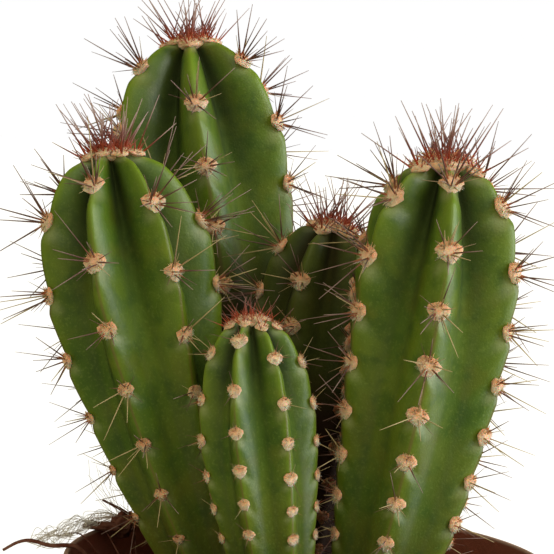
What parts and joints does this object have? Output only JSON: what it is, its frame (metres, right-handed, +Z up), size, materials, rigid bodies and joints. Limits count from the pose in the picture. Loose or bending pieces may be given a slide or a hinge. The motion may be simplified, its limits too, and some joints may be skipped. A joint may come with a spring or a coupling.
{
  "type": "potted tall cactus",
  "caption": "Potted columnar cactus: a clump of ribbed green stems with felt areoles, spines and woolly crowns, growing in soil in a thin round plastic nursery pot.",
  "frame": {"origin": "centre of the pot's flat base, on the surface that it stands on", "axes": "+Z up along the pot's axis and the stems, -Y towards the viewer of the front, +X to that viewer's right"},
  "size_m": [0.1916, 0.1915, 0.3422],
  "materials": {
    "pot_plastic": "thin dark red-brown moulded plastic, satin, with a lighter worn rim edge",
    "potting_soil": "loose dark brown potting mix, matte, with crumbs and grit",
    "dry_root": "dry grey-brown root fibre, matte",
    "crown_wool": "orange-tan felted wool with upright red-brown young spines, matte",
    "spine": "stiff dry spine, red-brown at its root and dark grey-brown to its tip, matte",
    "cactus_flesh": "waxy green skin with a soft sheen, lighter on the rib crests, with tan felt areoles and dark spines"
  },
  "bodies": {
    "root": {"pot": "pot_plastic", "soil": "potting_soil", "dry_roots": "dry_root", "crown_front_left": "crown_wool", "crown_back_left": "crown_wool", "crown_right": "crown_wool", "crown_front_small": "crown_wool", "crown_middle_back": "crown_wool", "stem_front_left": "cactus_flesh", "stem_back_left": "cactus_flesh", "stem_right": "cactus_flesh", "stem_front_small": "cactus_flesh", "stem_middle_back": "cactus_flesh"}
  },
  "joints": []
}
